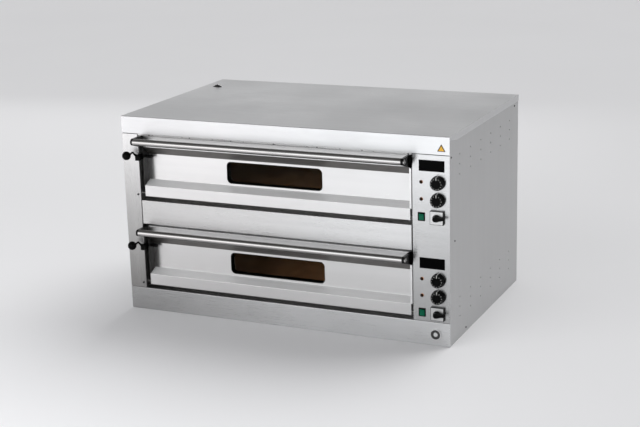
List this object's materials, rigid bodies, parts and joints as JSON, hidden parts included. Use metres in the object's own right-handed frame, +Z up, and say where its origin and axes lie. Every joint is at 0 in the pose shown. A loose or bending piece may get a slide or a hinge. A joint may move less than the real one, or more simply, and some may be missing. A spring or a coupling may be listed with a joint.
{
  "type": "double-deck pizza oven",
  "caption": "Wide double-deck electric pizza oven with drop-down windowed doors, bar handles, ball latch levers and a control column on the right.",
  "frame": {"origin": "on the surface the oven stands on, below the middle of its outer box, handles and cable gland included", "axes": "+X right along the doors, +Y back from the front, +Z up"},
  "size_m": [1.3, 0.9086, 0.7675],
  "materials": {
    "steel": "satin",
    "side_steel": "matte",
    "polished_steel": "polished",
    "chamber_steel": "satin",
    "dark_steel": "satin",
    "fireclay": "matte",
    "element_steel": "matte",
    "mineral_wool": "matte",
    "braid": "matte",
    "black_plastic": "gloss",
    "black_rubber": "matte",
    "black_metal": "gloss",
    "window_glass": "gloss",
    "lamp_glass": "gloss",
    "smoked_plastic": "gloss",
    "amber_plastic": "gloss",
    "green_plastic": "gloss",
    "bright_plate": "satin",
    "grey_plastic": "matte",
    "yellow_label": "satin",
    "dark_screws": "satin"
  },
  "bodies": {
    "oven": {"top_cover": "steel", "left_side_panel": "side_steel", "right_side_panel": "side_steel", "rear_panel": "side_steel", "base_pan": "steel", "left_post": "steel", "control_panel": "steel", "middle_panel": "steel", "lintel_strip": "steel", "compartment_wall": "chamber_steel", "stone_rails": "chamber_steel", "lower_chamber": "chamber_steel", "upper_chamber": "chamber_steel", "hearth_stones": "fireclay", "heating_elements": "element_steel", "insulation": "mineral_wool", "steam_duct": "chamber_steel", "chamber_lamps": "chamber_steel", "lamp_lenses": "lamp_glass", "mouth_seals": "braid", "hinge_bearings": "dark_steel", "displays": "smoked_plastic", "indicator_lamps": "amber_plastic", "rocker_housings": "black_plastic", "cam_switch_housings": "black_plastic", "cam_switch_plates": "bright_plate", "thermostats": "grey_plastic", "terminal_block": "grey_plastic", "cable_gland": "black_plastic", "badge": "bright_plate", "caution_triangle": "yellow_label", "panel_screws": "dark_screws"},
    "lower_door": {"lower_door_skin": "steel", "lower_door_liner": "chamber_steel", "lower_door_cheeks": "dark_steel", "lower_window_seal": "black_rubber", "lower_window_glass": "window_glass", "lower_door_insulation": "mineral_wool", "lower_handle_brackets": "black_metal", "lower_handle_bar": "polished_steel", "lower_door_pins": "polished_steel"},
    "lower_latch": {"lower_latch": "black_plastic"},
    "lower_ceiling_knob": {"lower_ceiling_knob": "black_plastic"},
    "lower_floor_knob": {"lower_floor_knob": "black_plastic"},
    "lower_switch_knob": {"lower_switch_knob": "black_plastic"},
    "lower_rocker": {"lower_rocker": "green_plastic"},
    "upper_door": {"upper_door_skin": "steel", "upper_door_liner": "chamber_steel", "upper_door_cheeks": "dark_steel", "upper_window_seal": "black_rubber", "upper_window_glass": "window_glass", "upper_door_insulation": "mineral_wool", "upper_handle_brackets": "black_metal", "upper_handle_bar": "polished_steel", "upper_door_pins": "polished_steel"},
    "upper_latch": {"upper_latch": "black_plastic"},
    "upper_ceiling_knob": {"upper_ceiling_knob": "black_plastic"},
    "upper_floor_knob": {"upper_floor_knob": "black_plastic"},
    "upper_switch_knob": {"upper_switch_knob": "black_plastic"},
    "upper_rocker": {"upper_rocker": "green_plastic"}
  },
  "joints": [
    {"name": "lower_door_hinge", "type": "hinge", "parent": "oven", "child": "lower_door", "pos_m": [-0.0355, -0.36075, 0.11], "axis": [1, 0, 0], "range_deg": [0, 90]},
    {"name": "lower_latch_pivot", "type": "hinge", "parent": "lower_door", "child": "lower_latch", "pos_m": [-0.5775, -0.35275, 0.251], "axis": [-1, 0, 0], "range_deg": [0, 20]},
    {"name": "lower_ceiling_knob_turn", "type": "hinge", "parent": "oven", "child": "lower_ceiling_knob", "pos_m": [0.6075, -0.38475, 0.244], "axis": [0, 1, 0], "range_deg": [0, 270]},
    {"name": "lower_floor_knob_turn", "type": "hinge", "parent": "oven", "child": "lower_floor_knob", "pos_m": [0.6075, -0.38475, 0.183], "axis": [0, 1, 0], "range_deg": [0, 270]},
    {"name": "lower_switch_turn", "type": "hinge", "parent": "oven", "child": "lower_switch_knob", "pos_m": [0.605, -0.38475, 0.121], "axis": [0, -1, 0], "range_deg": [0, 90]},
    {"name": "lower_rocker_tilt", "type": "hinge", "parent": "oven", "child": "lower_rocker", "pos_m": [0.546, -0.38075, 0.12], "axis": [-1, 0, 0], "range_deg": [0, 14]},
    {"name": "upper_door_hinge", "type": "hinge", "parent": "oven", "child": "upper_door", "pos_m": [-0.0355, -0.36075, 0.46], "axis": [1, 0, 0], "range_deg": [0, 90]},
    {"name": "upper_latch_pivot", "type": "hinge", "parent": "upper_door", "child": "upper_latch", "pos_m": [-0.5775, -0.35275, 0.601], "axis": [-1, 0, 0], "range_deg": [0, 20]},
    {"name": "upper_ceiling_knob_turn", "type": "hinge", "parent": "oven", "child": "upper_ceiling_knob", "pos_m": [0.6075, -0.38475, 0.594], "axis": [0, 1, 0], "range_deg": [0, 270]},
    {"name": "upper_floor_knob_turn", "type": "hinge", "parent": "oven", "child": "upper_floor_knob", "pos_m": [0.6075, -0.38475, 0.533], "axis": [0, 1, 0], "range_deg": [0, 270]},
    {"name": "upper_switch_turn", "type": "hinge", "parent": "oven", "child": "upper_switch_knob", "pos_m": [0.605, -0.38475, 0.471], "axis": [0, -1, 0], "range_deg": [0, 90]},
    {"name": "upper_rocker_tilt", "type": "hinge", "parent": "oven", "child": "upper_rocker", "pos_m": [0.546, -0.38075, 0.47], "axis": [-1, 0, 0], "range_deg": [0, 14]}
  ]
}
